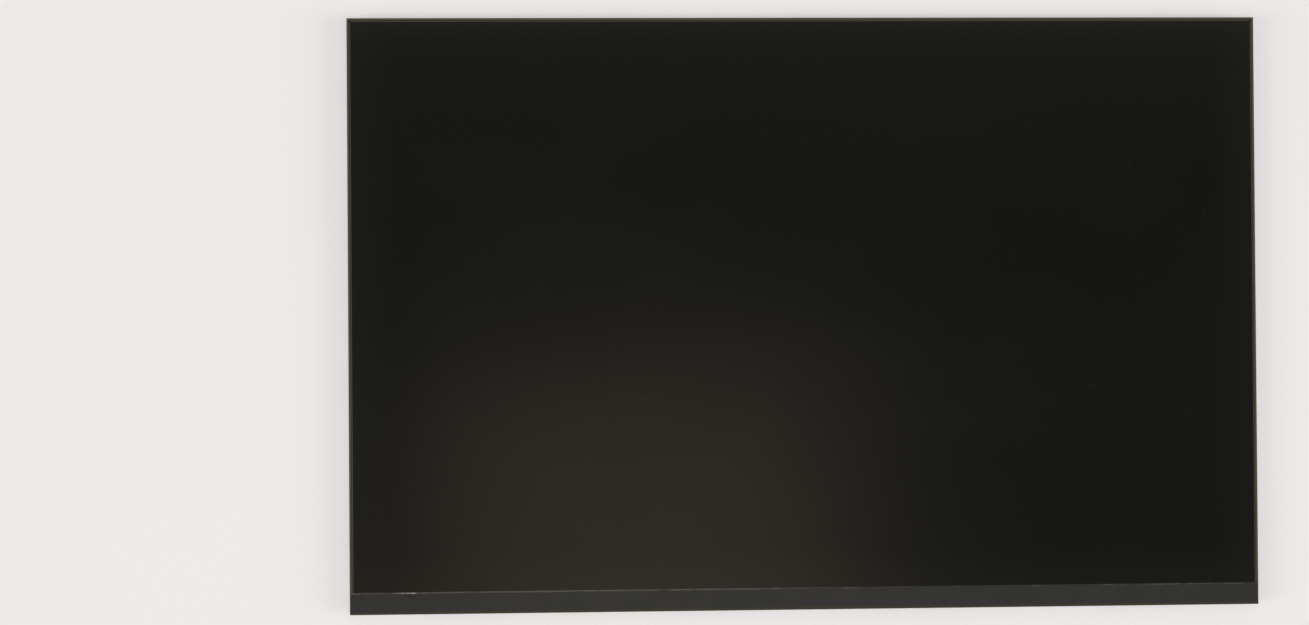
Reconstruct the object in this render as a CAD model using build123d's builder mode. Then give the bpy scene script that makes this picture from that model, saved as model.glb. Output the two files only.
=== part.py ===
from build123d import *
import os

# Laptop screen panel: a bare 14-inch, 16:10 notebook display module, lying on its back.
# X runs along the screen's width, +Y towards its upper edge and +Z out of the screen.
# The origin is under the middle of the outline, at the lowest face of the film over the board.

os.makedirs("parts", exist_ok=True)

# Image area and the borders round it, seen from the front
active_width = 301.6
active_height = 188.5
polarizer_border = 1.15
polarizer_border_below = 0.81
glass_margin = 0.35
glass_gap = 0.15
rim_width = 0.75
driver_strip = 7.39

# Thickness of each layer, from the front to the back
front_polarizer_thickness = 0.18
filter_glass_thickness = 0.30
array_glass_thickness = 0.30
rear_polarizer_thickness = 0.12
rim_tape_thickness = 0.10
upper_prism_thickness = 0.16
lower_prism_thickness = 0.12
diffuser_thickness = 0.10
guide_thickness = 0.60
reflector_thickness = 0.18
cover_thickness = 0.25
board_tape_thickness = 0.05
board_thickness = 0.40
board_film_thickness = 0.06

# Glass sheets and the tape that holds them
filter_margin = 0.40
glass_corner_cut = 0.60
rear_polarizer_margin = 0.15
rim_tape_setback = 0.05
rim_tape_clearance = 0.25

# Drivers on the ledge, the bent circuits and the tape over them
driver_count = 4
driver_length = 32.0
driver_width = 1.0
driver_height = 0.25
flex_width = 30.0
flex_thickness = 0.08
flex_bond = 1.1
flex_land = 1.6
flex_play = 0.05
flex_window_play = 1.0
strip_tape_thickness = 0.08
strip_tape_inset = 0.35
strip_tape_gap = 0.12

# Moulded frame and the sheets it holds
rim_edge_radius = 0.09
shelf_width = 1.0
sheet_play = 0.10
guide_end_play = 0.30
roof_play = 0.03
tab_width = 9.0
tab_length = 0.60
side_tab_drop = 46.0
top_tab_inset = 63.0
ear_width = 7.0
ear_length = 0.70
ear_rise = 26.0

# Light bar along the lower edge
mixing_length = 2.6
led_length = 3.0
led_depth = 0.85
led_height = 0.58
led_window_length = 2.4
led_window_height = 0.40
led_window_depth = 0.08
led_pitch = 6.75
led_play = 0.05
led_relief = 0.30
led_flex_thickness = 0.10
led_flex_overlap = 0.80
led_flex_height = 3.5
led_flex_end_inset = 4.0
tail_width = 12.0
tail_land = 2.2
tail_play = 0.10
tail_window_play = 0.8

# Folded back cover, its drawn field and its snap hooks
inner_bend_radius = 0.15
cover_play = 0.03
corner_relief = 1.6
field_depth = 0.20
field_slope = 45
field_side_margin = 8.0
field_top_margin = 8.0
field_film_gap = 1.5
field_corner_radius = 9.0
hook_length = 6.0
hook_height = 0.40
hook_reach = 0.20
hook_taper = 30
hook_play = 0.10
side_hooks = 4
top_hooks = 5

# Control board and the parts on it
board_end_margin = 3.1
board_height = 9.6
board_setback = 0.20
board_corner_radius = 0.8
board_tape_inset = 0.5
timing_controller_size = 6.0
timing_controller_height = 0.80
power_ic_size = 5.0
power_ic_height = 0.75
led_driver_size = 4.0
led_driver_height = 0.75
flash_memory_length = 3.0
flash_memory_width = 2.0
flash_memory_height = 0.55
package_chamfer = 0.06
pin_mark_radius = 0.25
pin_mark_depth = 0.04
pin_mark_inset = 0.8
inductor_size = 3.0
inductor_height = 0.85
inductor_corner_radius = 0.5
inductor_chamfer = 0.10
power_inductors = 3
capacitor_length = 1.0
capacitor_width = 0.5
capacitor_height = 0.5
resistor_length = 1.0
resistor_width = 0.5
resistor_height = 0.35
chip_columns = 2
chip_rows = 4
chip_pitch = 1.6
chip_row_pitch = 1.2
part_gap = 1.2

# Socket for the display cable
contact_count = 30
contact_pitch = 0.5
contact_width = 0.22
contact_thickness = 0.12
contact_tail = 0.7
contact_reach = 1.9
socket_margin = 1.6
socket_cheek = 0.9
socket_depth = 4.2
socket_height = 0.85
socket_base = 0.24
socket_back_wall = 1.3
socket_setback = 0.4
shell_thickness = 0.12
shell_setback = 0.35
shell_windows = 3
shell_window_length = 2.6
shell_window_width = 0.7
shell_window_inset = 0.45
lug_length = 1.3
lug_reach = 0.7

# Film over the middle of the board
film_land = 3.2
film_land_gap = 1.3
film_slack = 0.3
film_low_margin = 0.6
film_socket_gap = 14.0
film_tail_gap = 6.0

# Levels across the thickness
tallest_part = max(
    timing_controller_height, power_ic_height, led_driver_height, flash_memory_height,
    inductor_height, capacitor_height, resistor_height, socket_height,
)
film_front = board_film_thickness
board_back = film_front + tallest_part
board_front = board_back + board_thickness
cover_back = board_front + board_tape_thickness
cover_front = cover_back + cover_thickness
guide_back = cover_front + reflector_thickness
guide_front = guide_back + guide_thickness
diffuser_front = guide_front + diffuser_thickness
lower_prism_front = diffuser_front + lower_prism_thickness
shelf_level = lower_prism_front + upper_prism_thickness
rear_polarizer_back = shelf_level + rim_tape_thickness
array_back = rear_polarizer_back + rear_polarizer_thickness
array_front = array_back + array_glass_thickness
filter_front = array_front + filter_glass_thickness

# Places across the width, from the outline inwards
half_width = active_width / 2 + polarizer_border + glass_margin + glass_gap + rim_width
pocket_x = half_width - rim_width
glass_x = pocket_x - glass_gap
polarizer_x = glass_x - glass_margin
shelf_x = pocket_x - shelf_width
sheet_x = shelf_x - sheet_play
rear_polarizer_x = glass_x - rear_polarizer_margin
wall_inset = cover_thickness + cover_play
body_x = half_width - wall_inset

# Places up the height, from the upper edge down to the lower one
border_above = polarizer_border + glass_margin + glass_gap + rim_width
outline_height = border_above + active_height + polarizer_border_below + driver_strip
top = outline_height / 2
bottom = -outline_height / 2
pocket_top = top - rim_width
glass_top = pocket_top - glass_gap
polarizer_top = glass_top - glass_margin
shelf_top = pocket_top - shelf_width
sheet_top = shelf_top - sheet_play
rear_polarizer_top = glass_top - rear_polarizer_margin
body_top = top - wall_inset
active_top = polarizer_top - polarizer_border
active_bottom = active_top - active_height
polarizer_bottom = active_bottom - polarizer_border_below
filter_bottom = polarizer_bottom - filter_margin

# The bent circuits set where the glass ends above the lower edge
flex_radius = (array_front - board_back) / 2
glass_bottom = bottom + strip_tape_thickness + flex_play + flex_thickness + flex_radius
pocket_bottom = glass_bottom - glass_gap
frame_bottom = bottom + strip_tape_thickness
body_bottom = frame_bottom + wall_inset
flex_pitch = active_width / driver_count
flex_places = [(n - (driver_count - 1) / 2) * flex_pitch for n in range(driver_count)]

# Light bar below the image area
led_face = active_bottom - mixing_length
led_rear = led_face - led_depth
rail_face = led_rear - led_relief
guide_bottom = led_face + led_play
led_flex_top = led_face + led_flex_overlap
led_flex_low = led_flex_top - led_flex_height
led_flex_back = guide_back - led_flex_thickness
led_flex_x = active_width / 2 - led_flex_end_inset
led_count = int((2 * led_flex_x - led_length) / led_pitch)
sheet_bottom = led_flex_top + sheet_play
roof_back = guide_back + max(guide_thickness, led_height) + roof_play
rear_polarizer_bottom = led_rear + rear_polarizer_margin
tail_x = (flex_places[0] + flex_places[1]) / 2
tail_bend = pocket_bottom - tail_play
tail_radius = (led_flex_back - board_back) / 2

# Folded walls of the cover, and the rim of the frame that overhangs them
flange_back = array_back
wall_top = flange_back - cover_play
bend_radius = inner_bend_radius + cover_thickness
hook_level = (cover_back + bend_radius + wall_top) / 2
side_hook_pitch = outline_height / side_hooks
top_hook_pitch = 2 * half_width / top_hooks

# Control board
board_x = flex_places[-1] + flex_width / 2 + board_end_margin
board_low = glass_bottom + board_setback
board_top = board_low + board_height
board_middle = (board_low + flex_land + board_top) / 2
socket_x = (flex_places[-2] + flex_places[-1]) / 2
socket_low = board_low + socket_setback
contact_span = (contact_count - 1) * contact_pitch
socket_half = contact_span / 2 + socket_margin
socket_top = socket_low + socket_depth
socket_floor = board_back - socket_base
socket_back = board_back - socket_height
lug_low = (socket_low + socket_top - lug_length) / 2
lug_top = lug_low + lug_length
film_left = tail_x - tail_width / 2 - film_tail_gap
film_right = socket_x - socket_half - film_socket_gap

# Rows of parts along the board, from the socket and the light bar's tail outwards
chip_bank = (chip_columns - 1) * chip_pitch + max(capacitor_length, resistor_length)
power_x = socket_x + socket_half + lug_reach + 2 * part_gap + chip_bank + power_ic_size / 2
led_driver_x = tail_x + tail_width / 2 + 2 * part_gap + chip_bank + led_driver_size / 2
flash_x = (timing_controller_size + flash_memory_length) / 2 + part_gap
packages = (
    ("timing_controller", 0, timing_controller_size, timing_controller_size, timing_controller_height),
    ("power_ic", power_x, power_ic_size, power_ic_size, power_ic_height),
    ("led_driver_ic", led_driver_x, led_driver_size, led_driver_size, led_driver_height),
    ("flash_memory", flash_x, flash_memory_length, flash_memory_width, flash_memory_height),
)
capacitor_places = [
    -timing_controller_size / 2 - part_gap - chip_bank / 2,
    power_x - power_ic_size / 2 - part_gap - chip_bank / 2,
    led_driver_x - led_driver_size / 2 - part_gap - chip_bank / 2,
]
first_inductor = power_x + (power_ic_size + inductor_size) / 2 + part_gap
inductor_places = [first_inductor + n * (inductor_size + part_gap) for n in range(power_inductors)]
inductor_places.append(led_driver_x + (led_driver_size + inductor_size) / 2 + part_gap)
resistor_places = [
    flash_x + flash_memory_length / 2 + part_gap + chip_bank / 2,
    inductor_places[power_inductors - 1] + inductor_size / 2 + part_gap + chip_bank / 2,
    inductor_places[-1] + inductor_size / 2 + part_gap + chip_bank / 2,
]


def area(left, right, low, high, mode=Mode.ADD):
    """Rectangle between two upright and two level lines of the sketch in use."""
    with Locations(((left + right) / 2, (low + high) / 2)):
        Rectangle(right - left, high - low, mode=mode)


def sheet_tabs(reach, play):
    """Registration tabs of an optical sheet, or with play the notches that they lie in."""
    for side in (-1, 1):
        with Locations((side * (sheet_x - tab_length / 2 + reach / 2), sheet_top - side_tab_drop)):
            Rectangle(tab_length + reach, tab_width + 2 * play)
        with Locations((side * (sheet_x - top_tab_inset), sheet_top - tab_length / 2 + reach / 2)):
            Rectangle(tab_width + 2 * play, tab_length + reach)


def guide_ears(reach, play):
    """Ears of the light guide, or with play the notches that they lie in."""
    for side in (-1, 1):
        with Locations((side * (sheet_x - ear_length / 2 + reach / 2), guide_bottom + ear_rise)):
            Rectangle(ear_length + reach, ear_width + 2 * play)


# Front polarizer, the matte black face of the screen
with BuildPart() as front_polarizer:
    with BuildSketch(Plane.XY.offset(filter_front)):
        area(-polarizer_x, polarizer_x, polarizer_bottom, polarizer_top)
    extrude(amount=front_polarizer_thickness)
front_polarizer.part.label = "front_polarizer"
export_step(front_polarizer.part, "parts/front_polarizer.step")

# Upper glass, with the colour filter on its underside
with BuildPart() as filter_glass:
    with BuildSketch(Plane.XY.offset(array_front)) as outline:
        area(-glass_x, glass_x, filter_bottom, glass_top)
        chamfer(outline.vertices().group_by(Axis.Y)[-1], length=glass_corner_cut)
    extrude(amount=filter_glass_thickness)
filter_glass.part.label = "filter_glass"
export_step(filter_glass.part, "parts/filter_glass.step")

# Lower glass, which reaches past the upper one to form the drivers' ledge
with BuildPart() as array_glass:
    with BuildSketch(Plane.XY.offset(array_back)) as outline:
        area(-glass_x, glass_x, glass_bottom, glass_top)
        chamfer(outline.vertices(), length=glass_corner_cut)
    extrude(amount=array_glass_thickness)
array_glass.part.label = "array_glass"
export_step(array_glass.part, "parts/array_glass.step")

# Rear polarizer
with BuildPart() as rear_polarizer:
    with BuildSketch(Plane.XY.offset(rear_polarizer_back)):
        area(-rear_polarizer_x, rear_polarizer_x, rear_polarizer_bottom, rear_polarizer_top)
    extrude(amount=rear_polarizer_thickness)
rear_polarizer.part.label = "rear_polarizer"
export_step(rear_polarizer.part, "parts/rear_polarizer.step")

# Driver chips bonded to the ledge, each in the middle of the columns that it feeds
driver_middle = (glass_bottom + flex_bond + filter_bottom) / 2
for number, place in enumerate(flex_places, start=1):
    with BuildPart() as source_driver:
        with BuildSketch(Plane.XY.offset(array_front)):
            with Locations((place, driver_middle)):
                Rectangle(driver_length, driver_width)
        extrude(amount=driver_height)
    source_driver.part.label = f"source_driver_{number}"
    export_step(source_driver.part, f"parts/source_driver_{number}.step")

# Flexible circuits, from the ledge round a half circle to the back of the board
for number, place in enumerate(flex_places, start=1):
    with BuildPart() as panel_flex:
        with BuildSketch(Plane.YZ.offset(place - flex_width / 2)):
            with BuildLine():
                ledge_run = Line((glass_bottom + flex_bond, array_front), (glass_bottom, array_front))
                bend = JernArc(ledge_run @ 1, ledge_run % 1, flex_radius, 180)
                Line(bend @ 1, (board_low + flex_land, board_back))
                offset(amount=flex_thickness, side=Side.RIGHT)
            make_face()
        extrude(amount=flex_width)
    panel_flex.part.label = f"panel_flex_{number}"
    export_step(panel_flex.part, f"parts/panel_flex_{number}.step")

# Tape over the driver strip, folded down over the lower edge
with BuildPart() as strip_cover_tape:
    with BuildSketch(Plane.YZ.offset(strip_tape_inset - half_width)):
        with BuildLine():
            Polyline(
                (polarizer_bottom - strip_tape_gap, filter_front),
                (frame_bottom, filter_front),
                (frame_bottom, cover_back + bend_radius),
            )
            offset(amount=strip_tape_thickness, side=Side.RIGHT)
        make_face()
    extrude(amount=2 * (half_width - strip_tape_inset))
strip_cover_tape.part.label = "strip_cover_tape"
export_step(strip_cover_tape.part, "parts/strip_cover_tape.step")

# Tape that holds the glass, half on the frame's shelf and half on the uppermost sheet
with BuildPart() as rim_tape:
    with BuildSketch(Plane.XY.offset(shelf_level)):
        area(
            rim_tape_setback - rear_polarizer_x, rear_polarizer_x - rim_tape_setback,
            rear_polarizer_bottom + rim_tape_setback, rear_polarizer_top - rim_tape_setback,
        )
        area(
            -active_width / 2 - rim_tape_clearance, active_width / 2 + rim_tape_clearance,
            active_bottom - rim_tape_clearance, active_top + rim_tape_clearance,
            mode=Mode.SUBTRACT,
        )
    extrude(amount=rim_tape_thickness)
rim_tape.part.label = "rim_tape"
export_step(rim_tape.part, "parts/rim_tape.step")

# Upper prism sheet
with BuildPart() as upper_prism_sheet:
    with BuildSketch(Plane.XY.offset(lower_prism_front)):
        area(-sheet_x, sheet_x, sheet_bottom, sheet_top)
        sheet_tabs(tab_length, 0)
    extrude(amount=upper_prism_thickness)
upper_prism_sheet.part.label = "upper_prism_sheet"
export_step(upper_prism_sheet.part, "parts/upper_prism_sheet.step")

# Lower prism sheet
with BuildPart() as lower_prism_sheet:
    with BuildSketch(Plane.XY.offset(diffuser_front)):
        area(-sheet_x, sheet_x, sheet_bottom, sheet_top)
        sheet_tabs(tab_length, 0)
    extrude(amount=lower_prism_thickness)
lower_prism_sheet.part.label = "lower_prism_sheet"
export_step(lower_prism_sheet.part, "parts/lower_prism_sheet.step")

# Diffuser sheet
with BuildPart() as diffuser_sheet:
    with BuildSketch(Plane.XY.offset(guide_front)):
        area(-sheet_x, sheet_x, sheet_bottom, sheet_top)
        sheet_tabs(tab_length, 0)
    extrude(amount=diffuser_thickness)
diffuser_sheet.part.label = "diffuser_sheet"
export_step(diffuser_sheet.part, "parts/diffuser_sheet.step")

# Light guide, with an ear at each side
with BuildPart() as light_guide_plate:
    with BuildSketch(Plane.XY.offset(guide_back)):
        area(-sheet_x, sheet_x, guide_bottom, sheet_top - guide_end_play)
        guide_ears(ear_length, 0)
    extrude(amount=guide_thickness)
light_guide_plate.part.label = "light_guide_plate"
export_step(light_guide_plate.part, "parts/light_guide_plate.step")

# Reflector sheet, on the floor of the back cover
with BuildPart() as reflector_sheet:
    with BuildSketch(Plane.XY.offset(cover_front)):
        area(-sheet_x, sheet_x, sheet_bottom, sheet_top)
    extrude(amount=reflector_thickness)
reflector_sheet.part.label = "reflector_sheet"
export_step(reflector_sheet.part, "parts/reflector_sheet.step")

# Circuit of the light bar, with a tail that bends round to the board
with BuildPart() as led_flex:
    with BuildSketch(Plane.XY.offset(led_flex_back)):
        area(-led_flex_x, led_flex_x, led_flex_low, led_flex_top)
    extrude(amount=led_flex_thickness)
    with BuildSketch(Plane.YZ.offset(tail_x - tail_width / 2)):
        with BuildLine():
            tail_run = Line((led_flex_top, led_flex_back), (tail_bend, led_flex_back))
            bend = JernArc(tail_run @ 1, tail_run % 1, tail_radius, 180)
            Line(bend @ 1, (board_low + tail_land, board_back))
            offset(amount=led_flex_thickness, side=Side.RIGHT)
        make_face()
    extrude(amount=tail_width)
led_flex.part.label = "led_flex"
export_step(led_flex.part, "parts/led_flex.step")

# Tape under the light bar, which carries its heat to the cover
with BuildPart() as led_tape:
    with BuildSketch(Plane.XY.offset(cover_front)):
        area(-led_flex_x, led_flex_x, led_flex_low, led_flex_top)
    extrude(amount=led_flex_back - cover_front)
led_tape.part.label = "led_tape"
export_step(led_tape.part, "parts/led_tape.step")

# Row of side-view LEDs, each with a recessed window that faces the light guide
with BuildPart() as leds:
    with BuildSketch(Plane.XY.offset(guide_back)):
        with Locations((0, (led_face + led_rear) / 2)):
            with GridLocations(led_pitch, 0, led_count, 1):
                Rectangle(led_length, led_depth)
    extrude(amount=led_height)
    led_front = Plane((0, led_face, guide_back + led_height / 2), (1, 0, 0), (0, -1, 0))
    with BuildSketch(led_front):
        with GridLocations(led_pitch, 0, led_count, 1):
            Rectangle(led_window_length, led_window_height)
    extrude(amount=led_window_depth, mode=Mode.SUBTRACT)
leds.part.label = "leds"
export_step(leds.part, "parts/leds.step")

# Moulded frame: a stepped rim round the glass, a shelf under it and a wide rail below the screen
with BuildPart() as mold_frame:
    with BuildSketch(Plane.XY.offset(cover_front)):
        area(-body_x, body_x, body_bottom, body_top)
    extrude(amount=filter_front - cover_front)
    chamfer(mold_frame.edges().group_by(Axis.Z)[0], inner_bend_radius)
    with BuildSketch(Plane.XY.offset(flange_back)):
        area(-half_width, half_width, frame_bottom, top)
    extrude(amount=filter_front - flange_back)
    # Pocket for the glass, with the seat of the drivers' ledge left standing
    with BuildSketch(Plane.XY.offset(array_back)):
        area(-pocket_x, pocket_x, pocket_bottom, pocket_top)
    extrude(amount=filter_front - array_back, mode=Mode.SUBTRACT)
    with BuildSketch(Plane.XY.offset(shelf_level)):
        area(-pocket_x, pocket_x, led_rear, pocket_top)
    extrude(amount=array_back - shelf_level, mode=Mode.SUBTRACT)
    # Opening for the sheets, and the room under the roof over the light bar
    with BuildSketch(Plane.XY.offset(cover_front)):
        area(-shelf_x, shelf_x, led_flex_top, shelf_top)
    extrude(amount=shelf_level - cover_front, mode=Mode.SUBTRACT)
    with BuildSketch(Plane.XY.offset(cover_front)):
        area(-shelf_x, shelf_x, rail_face, led_flex_top)
    extrude(amount=roof_back - cover_front, mode=Mode.SUBTRACT)
    # Relief under the rail for the light bar's circuit and its tail
    with BuildSketch(Plane.XY.offset(cover_front)):
        area(
            -led_flex_x - tail_window_play, led_flex_x + tail_window_play,
            led_flex_low - tail_play, rail_face,
        )
        with Locations((tail_x, (body_bottom + rail_face) / 2)):
            Rectangle(tail_width + 2 * tail_window_play, rail_face - body_bottom)
    extrude(amount=reflector_thickness + roof_play, mode=Mode.SUBTRACT)
    # Notches for the sheets' tabs and the light guide's ears
    with BuildSketch(Plane.XY.offset(guide_front)):
        sheet_tabs(tab_length + sheet_play, sheet_play)
    extrude(amount=shelf_level - guide_front, mode=Mode.SUBTRACT)
    with BuildSketch(Plane.XY.offset(guide_back)):
        guide_ears(ear_length + sheet_play, sheet_play)
    extrude(amount=shelf_level - guide_back, mode=Mode.SUBTRACT)
    # Windows in the lower wall for the bent circuits and the tail
    with BuildSketch(Plane.XY.offset(cover_front)):
        for place in flex_places:
            with Locations((place, (frame_bottom + pocket_bottom) / 2)):
                Rectangle(flex_width + 2 * flex_window_play, pocket_bottom - frame_bottom)
        with Locations((tail_x, (frame_bottom + pocket_bottom) / 2)):
            Rectangle(tail_width + 2 * tail_window_play, pocket_bottom - frame_bottom)
    extrude(amount=filter_front - cover_front, mode=Mode.SUBTRACT)
    # Rounded edges of the rim at the top and sides
    rim_edges = mold_frame.edges().group_by(Axis.Z)[-1]
    fillet(rim_edges.filter_by(lambda edge: edge.center().Y > glass_bottom), rim_edge_radius)
    # Snap hooks on the outer faces
    for side in (-1, 1):
        with BuildSketch(Plane((side * body_x, 0, hook_level), (0, side, 0), (side, 0, 0))):
            with GridLocations(side_hook_pitch, 0, side_hooks, 1):
                Rectangle(hook_length, hook_height)
        extrude(amount=hook_reach, taper=hook_taper)
    with BuildSketch(Plane((0, body_top, hook_level), (-1, 0, 0), (0, 1, 0))):
        with GridLocations(top_hook_pitch, 0, top_hooks, 1):
            Rectangle(hook_length, hook_height)
    extrude(amount=hook_reach, taper=hook_taper)
mold_frame.part.label = "mold_frame"
export_step(mold_frame.part, "parts/mold_frame.step")

# Back cover: a shallow folded tray with a drawn field, open corners and windows for the hooks
with BuildPart() as back_cover:
    with BuildSketch(Plane.XY.offset(cover_back)):
        area(-half_width, half_width, frame_bottom, top)
    extrude(amount=wall_top - cover_back)
    fillet(back_cover.edges().group_by(Axis.Z)[0], bend_radius)
    offset(amount=-cover_thickness, openings=back_cover.faces().sort_by(Axis.Z)[-1])
    # Field drawn outwards, which stiffens the floor
    field_low = board_top + film_land_gap + film_land + field_film_gap
    field_high = top - field_top_margin
    field_width = 2 * (half_width - field_side_margin)
    for level, mode in ((cover_back, Mode.ADD), (cover_front, Mode.SUBTRACT)):
        with BuildSketch(Plane((0, 0, level), (1, 0, 0), (0, 0, -1))):
            with Locations((0, -(field_low + field_high) / 2)):
                RectangleRounded(field_width, field_high - field_low, field_corner_radius)
        extrude(amount=field_depth, taper=field_slope, mode=mode)
    # Corner reliefs, and the windows in the lower wall
    with BuildSketch(Plane.XY.offset(cover_back)):
        for side in (-1, 1):
            for edge in (frame_bottom + corner_relief / 2, top - corner_relief / 2):
                with Locations((side * (half_width - corner_relief / 2), edge)):
                    Rectangle(corner_relief, corner_relief)
        for place in flex_places:
            with Locations((place, (frame_bottom + pocket_bottom) / 2)):
                Rectangle(flex_width + 2 * flex_window_play, pocket_bottom - frame_bottom)
        with Locations((tail_x, (frame_bottom + pocket_bottom) / 2)):
            Rectangle(tail_width + 2 * tail_window_play, pocket_bottom - frame_bottom)
    extrude(amount=wall_top - cover_back, mode=Mode.SUBTRACT)
    # Windows for the snap hooks
    for side in (-1, 1):
        with BuildSketch(Plane((side * half_width, 0, hook_level), (0, side, 0), (side, 0, 0))):
            with GridLocations(side_hook_pitch, 0, side_hooks, 1):
                Rectangle(hook_length + 2 * hook_play, hook_height + 2 * hook_play)
        extrude(amount=-wall_inset, mode=Mode.SUBTRACT)
    with BuildSketch(Plane((0, top, hook_level), (-1, 0, 0), (0, 1, 0))):
        with GridLocations(top_hook_pitch, 0, top_hooks, 1):
            Rectangle(hook_length + 2 * hook_play, hook_height + 2 * hook_play)
    extrude(amount=-wall_inset, mode=Mode.SUBTRACT)
back_cover.part.label = "back_cover"
export_step(back_cover.part, "parts/back_cover.step")

# Control board, stuck to the cover along the lower edge
with BuildPart() as control_board:
    with BuildSketch(Plane.XY.offset(board_back)) as outline:
        area(-board_x, board_x, board_low, board_top)
        fillet(outline.vertices(), board_corner_radius)
    extrude(amount=board_thickness)
control_board.part.label = "control_board"
export_step(control_board.part, "parts/control_board.step")

# Tape between the board and the cover
with BuildPart() as board_tape:
    with BuildSketch(Plane.XY.offset(board_front)):
        area(
            board_tape_inset - board_x, board_x - board_tape_inset,
            board_low + board_tape_inset, board_top - board_tape_inset,
        )
    extrude(amount=board_tape_thickness)
board_tape.part.label = "board_tape"
export_step(board_tape.part, "parts/board_tape.step")

# Packages on the back of the board, each with a chamfered face and a mark at its first pin
for name, place, length, width, height in packages:
    with BuildPart() as package:
        with BuildSketch(Plane.XY.offset(board_back)):
            with Locations((place, board_middle)):
                Rectangle(length, width)
        extrude(amount=-height)
        chamfer(package.edges().group_by(Axis.Z)[0], package_chamfer)
        with BuildSketch(Plane.XY.offset(board_back - height)):
            with Locations((place - length / 2 + pin_mark_inset, board_middle + width / 2 - pin_mark_inset)):
                Circle(pin_mark_radius)
        extrude(amount=pin_mark_depth, mode=Mode.SUBTRACT)
    package.part.label = name
    export_step(package.part, f"parts/{name}.step")

# Power inductors with a chamfered face: three beside the power chip, one beside the LED driver
for number, place in enumerate(inductor_places, start=1):
    with BuildPart() as power_inductor:
        with BuildSketch(Plane.XY.offset(board_back)):
            with Locations((place, board_middle)):
                RectangleRounded(inductor_size, inductor_size, inductor_corner_radius)
        extrude(amount=-inductor_height)
        chamfer(power_inductor.edges().group_by(Axis.Z)[0], inductor_chamfer)
    power_inductor.part.label = f"power_inductor_{number}"
    export_step(power_inductor.part, f"parts/power_inductor_{number}.step")

# Chip capacitors, in a bank at the left of each package
with BuildPart() as capacitors:
    with BuildSketch(Plane.XY.offset(board_back)):
        for place in capacitor_places:
            with Locations((place, board_middle)):
                with GridLocations(chip_pitch, chip_row_pitch, chip_columns, chip_rows):
                    Rectangle(capacitor_length, capacitor_width)
    extrude(amount=-capacitor_height)
capacitors.part.label = "capacitors"
export_step(capacitors.part, "parts/capacitors.step")

# Chip resistors, in a bank at the right of the memory and of each row of inductors
with BuildPart() as resistors:
    with BuildSketch(Plane.XY.offset(board_back)):
        for place in resistor_places:
            with Locations((place, board_middle)):
                with GridLocations(chip_pitch, chip_row_pitch, chip_columns, chip_rows):
                    Rectangle(resistor_length, resistor_width)
    extrude(amount=-resistor_height)
resistors.part.label = "resistors"
export_step(resistors.part, "parts/resistors.step")

# Socket for the display cable: a moulded housing, open towards the lower edge
with BuildPart() as connector_housing:
    with BuildSketch(Plane.XY.offset(board_back)):
        area(socket_x - socket_half, socket_x + socket_half, socket_low, socket_top)
    extrude(amount=shell_thickness - socket_height)
    with BuildSketch(Plane.XY.offset(socket_floor)):
        area(
            socket_x - socket_half + socket_cheek, socket_x + socket_half - socket_cheek,
            socket_low, socket_top - socket_back_wall,
        )
    extrude(amount=socket_base + shell_thickness - socket_height, mode=Mode.SUBTRACT)
    # Slit in the back wall that the contacts pass through
    with BuildSketch(Plane.XY.offset(socket_floor)):
        area(
            socket_x - contact_span / 2 - contact_width, socket_x + contact_span / 2 + contact_width,
            socket_top - socket_back_wall, socket_top,
        )
    extrude(amount=-contact_thickness, mode=Mode.SUBTRACT)
connector_housing.part.label = "connector_housing"
export_step(connector_housing.part, "parts/connector_housing.step")

# Contacts of the socket, each bent from the board up to the floor of the mouth
with BuildPart() as connector_contacts:
    with BuildSketch(Plane.YZ.offset(socket_x - (contact_span + contact_width) / 2)):
        with BuildLine():
            Polyline(
                (socket_top + contact_tail, board_back),
                (socket_top, board_back),
                (socket_top, socket_floor),
                (socket_top - socket_back_wall - contact_reach, socket_floor),
            )
            offset(amount=contact_thickness, side=Side.LEFT)
        make_face()
    extrude(amount=contact_span + contact_width)
    # Gaps that part the strip into contacts
    with BuildSketch(Plane.XY.offset(board_back)):
        with Locations((socket_x, socket_top + contact_tail - socket_depth / 2)):
            with GridLocations(contact_pitch, 0, contact_count - 1, 1):
                Rectangle(contact_pitch - contact_width, socket_depth)
    extrude(amount=-socket_height, mode=Mode.SUBTRACT)
connector_contacts.part.label = "connector_contacts"
export_step(connector_contacts.part, "parts/connector_contacts.step")

# Metal shell of the socket, folded over the housing and soldered by a lug at each end
with BuildPart() as connector_shell:
    with BuildSketch(Plane((socket_x, socket_top, 0), (1, 0, 0), (0, -1, 0))):
        with BuildLine():
            Polyline(
                (-socket_half - lug_reach, board_back),
                (-socket_half, board_back),
                (-socket_half, socket_back + shell_thickness),
                (socket_half, socket_back + shell_thickness),
                (socket_half, board_back),
                (socket_half + lug_reach, board_back),
            )
            offset(amount=shell_thickness, side=Side.RIGHT)
        make_face()
    extrude(amount=socket_depth - shell_setback)
    with BuildSketch(Plane.XY.offset(board_back)):
        for side in (-1, 1):
            lug_place = socket_x + side * (socket_half + lug_reach / 2 + shell_thickness)
            for edge, span in ((socket_low, lug_low - socket_low), (lug_top, socket_top - lug_top)):
                with Locations((lug_place, edge + span / 2)):
                    Rectangle(lug_reach, span)
    extrude(amount=-shell_thickness, mode=Mode.SUBTRACT)
    # Windows that the latches of the plug catch in
    window_middle = socket_low + shell_setback + shell_window_inset + shell_window_width / 2
    with BuildSketch(Plane.XY.offset(socket_back)):
        with Locations((socket_x, window_middle)):
            with GridLocations(contact_span / shell_windows, 0, shell_windows, 1):
                Rectangle(shell_window_length, shell_window_width)
    extrude(amount=shell_thickness, mode=Mode.SUBTRACT)
connector_shell.part.label = "connector_shell"
export_step(connector_shell.part, "parts/connector_shell.step")

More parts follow.
